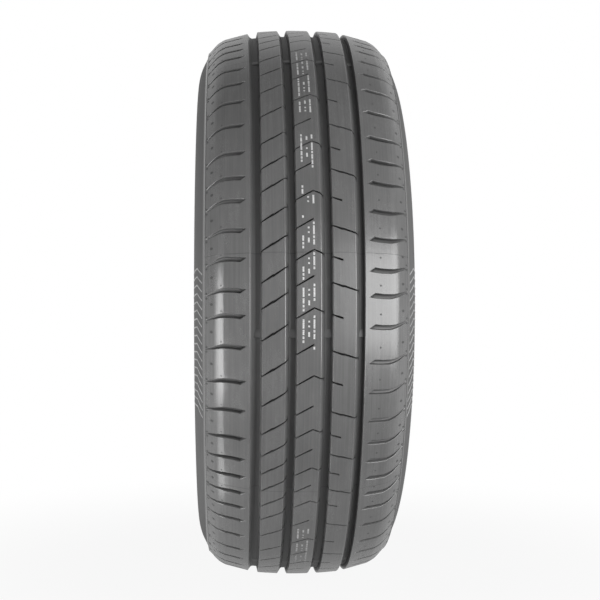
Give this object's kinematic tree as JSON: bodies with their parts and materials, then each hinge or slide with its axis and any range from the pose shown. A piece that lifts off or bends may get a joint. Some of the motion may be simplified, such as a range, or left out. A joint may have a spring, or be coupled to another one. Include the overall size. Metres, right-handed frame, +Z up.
{
  "type": "car tyre",
  "caption": "Tubeless car tyre: one moulded rubber ring with straight tread grooves, siped ribs, slotted shoulders, rounded sidewalls and beads that seat on a wheel rim.",
  "frame": {"origin": "centre of the tyre, on its axis and midway between its beads", "axes": "+Y along the axle, +Z up with the tyre standing on its tread, +X towards the tread that the picture shows"},
  "size_m": [0.7628, 0.265, 0.7626],
  "materials": {
    "tread_rubber": "satin moulded rubber"
  },
  "bodies": {
    "root": {"tyre": "tread_rubber"}
  },
  "joints": []
}
